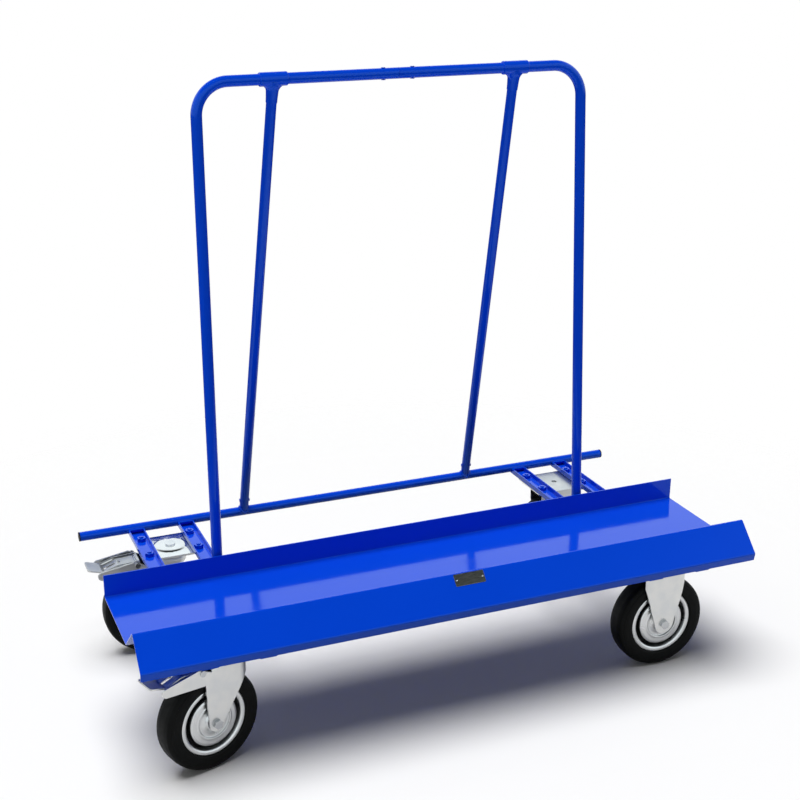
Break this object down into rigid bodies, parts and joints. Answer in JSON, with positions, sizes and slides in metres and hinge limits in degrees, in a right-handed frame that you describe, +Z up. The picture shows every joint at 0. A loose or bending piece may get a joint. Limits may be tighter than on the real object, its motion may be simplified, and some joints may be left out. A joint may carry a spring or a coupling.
{
  "type": "panel trolley",
  "caption": "Panel trolley with a long folded sheet-metal tray, a tall tubular bow to lean boards on, swivel castors with foot brakes and fixed castors.",
  "frame": {"origin": "on the floor, under the middle of the trolley's box", "axes": "+X along the tray towards the fixed castors, +Y towards the rear tube, +Z up"},
  "size_m": [1.28, 0.6458, 1.2287],
  "materials": {
    "blue_paint": "gloss powder coat",
    "zinc_plate": "bright zinc plated",
    "zinc_bolt": "zinc plated",
    "black_rubber": "satin black rubber",
    "black_plastic": "matt",
    "bearing_steel": "bare steel"
  },
  "bodies": {
    "chassis": {"tray": "blue_paint", "channel_outer_left": "blue_paint", "channel_inner_left": "blue_paint", "channel_inner_right": "blue_paint", "channel_outer_right": "blue_paint", "rear_tube": "blue_paint", "bow_left": "blue_paint", "bow_right": "blue_paint", "bow_joint_sleeve": "blue_paint", "brace_left": "blue_paint", "brace_right": "blue_paint", "brace_collar_left": "blue_paint", "brace_collar_right": "blue_paint", "bow_joint_bolts": "zinc_bolt", "leg_foot_bolts": "zinc_bolt", "brace_foot_bolts": "zinc_bolt", "caster_bolts": "zinc_bolt", "caster_nuts": "zinc_bolt", "fixed_axle_bolts": "zinc_bolt", "fixed_axle_nuts": "zinc_bolt", "kingpins": "zinc_bolt", "fixed_plates": "zinc_plate", "swivel_plates": "zinc_plate", "fixed_fork_front_right": "zinc_plate", "fixed_fork_rear_right": "zinc_plate", "lower_races": "bearing_steel", "fixed_axle_sleeves": "bearing_steel", "rear_tube_plugs": "black_plastic"},
    "swivel_front_left": {"swivel_fork_front_left": "zinc_plate", "ball_ring_front_left": "bearing_steel", "axle_bolt_front_left": "zinc_bolt", "axle_nut_front_left": "zinc_bolt", "axle_sleeve_front_left": "bearing_steel", "pedal_pin_front_left": "zinc_bolt"},
    "brake_front_left": {"pedal_front_left": "zinc_plate", "brake_shoe_front_left": "zinc_bolt"},
    "wheel_front_left": {"tyre_front_left": "black_rubber", "rim_front_left": "zinc_plate", "bearing_front_left": "bearing_steel"},
    "swivel_rear_left": {"swivel_fork_rear_left": "zinc_plate", "ball_ring_rear_left": "bearing_steel", "axle_bolt_rear_left": "zinc_bolt", "axle_nut_rear_left": "zinc_bolt", "axle_sleeve_rear_left": "bearing_steel", "pedal_pin_rear_left": "zinc_bolt"},
    "brake_rear_left": {"pedal_rear_left": "zinc_plate", "brake_shoe_rear_left": "zinc_bolt"},
    "wheel_rear_left": {"tyre_rear_left": "black_rubber", "rim_rear_left": "zinc_plate", "bearing_rear_left": "bearing_steel"},
    "wheel_front_right": {"tyre_front_right": "black_rubber", "rim_front_right": "zinc_plate", "bearing_front_right": "bearing_steel"},
    "wheel_rear_right": {"tyre_rear_right": "black_rubber", "rim_rear_right": "zinc_plate", "bearing_rear_right": "bearing_steel"}
  },
  "joints": [
    {"name": "swivel_front_left_turn", "type": "hinge", "parent": "chassis", "child": "swivel_front_left", "pos_m": [-0.46, -0.2397, 0.223], "axis": [0, 0, 1], "continuous": true},
    {"name": "brake_front_left_press", "type": "hinge", "parent": "swivel_front_left", "child": "brake_front_left", "pos_m": [-0.53323, -0.26349, 0.213], "axis": [0.309, -0.9511, 0], "range_deg": [0, 12]},
    {"name": "wheel_front_left_roll", "type": "hinge", "parent": "swivel_front_left", "child": "wheel_front_left", "pos_m": [-0.50945, -0.25577, 0.1], "axis": [-0.309, 0.9511, 0], "continuous": true},
    {"name": "swivel_rear_left_turn", "type": "hinge", "parent": "chassis", "child": "swivel_rear_left", "pos_m": [-0.46, 0.2223, 0.223], "axis": [0, 0, 1], "continuous": true},
    {"name": "brake_rear_left_press", "type": "hinge", "parent": "swivel_rear_left", "child": "brake_rear_left", "pos_m": [-0.537, 0.2223, 0.213], "axis": [0, -1, 0], "range_deg": [0, 12]},
    {"name": "wheel_rear_left_roll", "type": "hinge", "parent": "swivel_rear_left", "child": "wheel_rear_left", "pos_m": [-0.512, 0.2223, 0.1], "axis": [0, 1, 0], "continuous": true},
    {"name": "wheel_front_right_roll", "type": "hinge", "parent": "chassis", "child": "wheel_front_right", "pos_m": [0.462, -0.2397, 0.1], "axis": [0, 1, 0], "continuous": true},
    {"name": "wheel_rear_right_roll", "type": "hinge", "parent": "chassis", "child": "wheel_rear_right", "pos_m": [0.462, 0.2223, 0.1], "axis": [0, 1, 0], "continuous": true}
  ]
}
